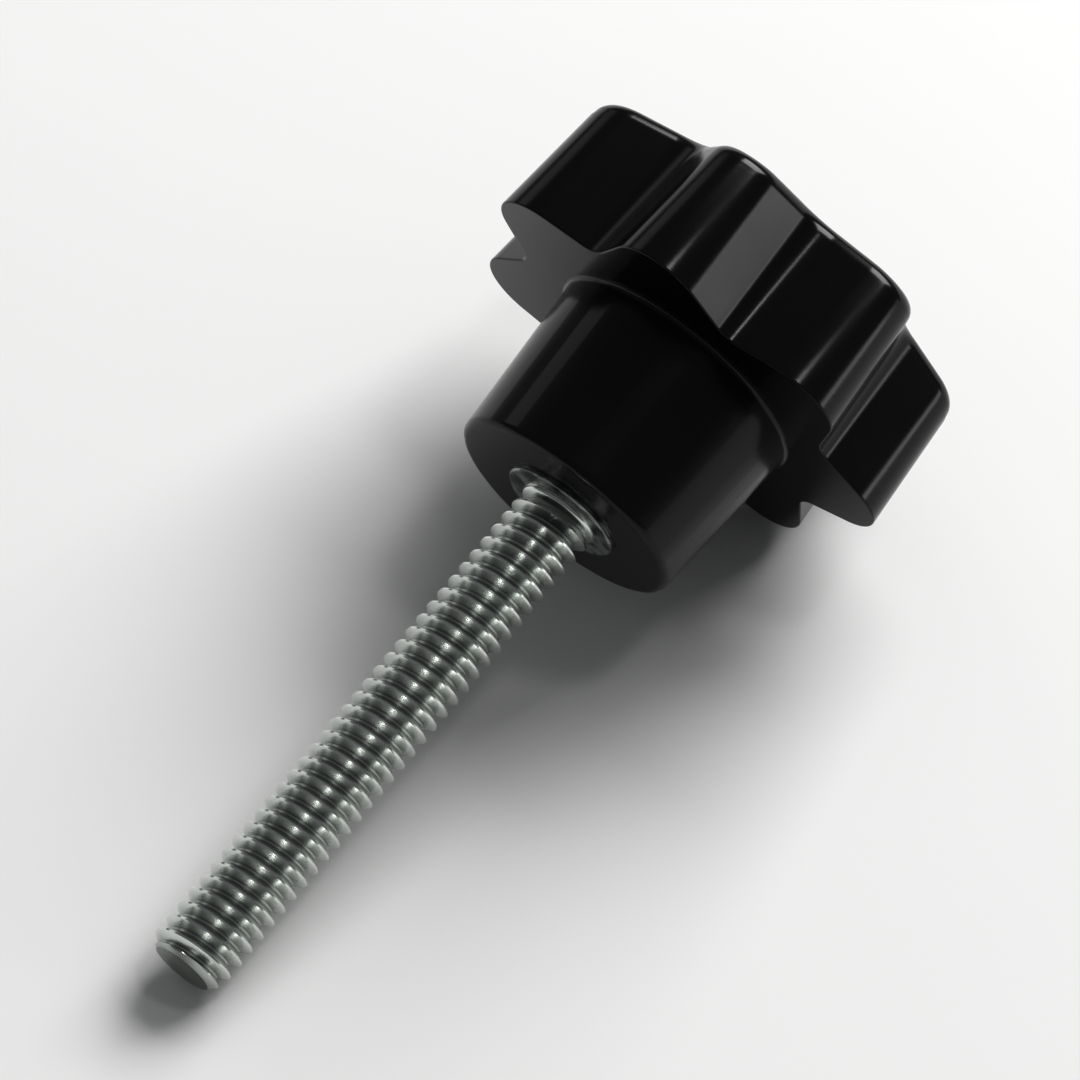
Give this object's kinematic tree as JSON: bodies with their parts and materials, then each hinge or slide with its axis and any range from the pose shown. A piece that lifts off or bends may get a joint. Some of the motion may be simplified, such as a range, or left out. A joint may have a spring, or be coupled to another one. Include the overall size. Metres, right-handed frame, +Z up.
{
  "type": "thumb screw",
  "caption": "Thumb screw: a black moulded plastic knob with a lobed head and a round hub, on a zinc-plated steel threaded stud that is moulded in.",
  "frame": {"origin": "middle of the bounding box, on the surface that the screw lies on", "axes": "+X along the screw from its tip to its head, level with the floor; +Z up"},
  "size_m": [0.0724, 0.0362, 0.0363],
  "materials": {
    "moulded_plastic": "black moulded thermoplastic, smooth and fairly glossy",
    "plated_steel": "rolled thread with bright zinc plating"
  },
  "bodies": {
    "root": {"knob": "moulded_plastic", "threaded_stud": "plated_steel"}
  },
  "joints": []
}
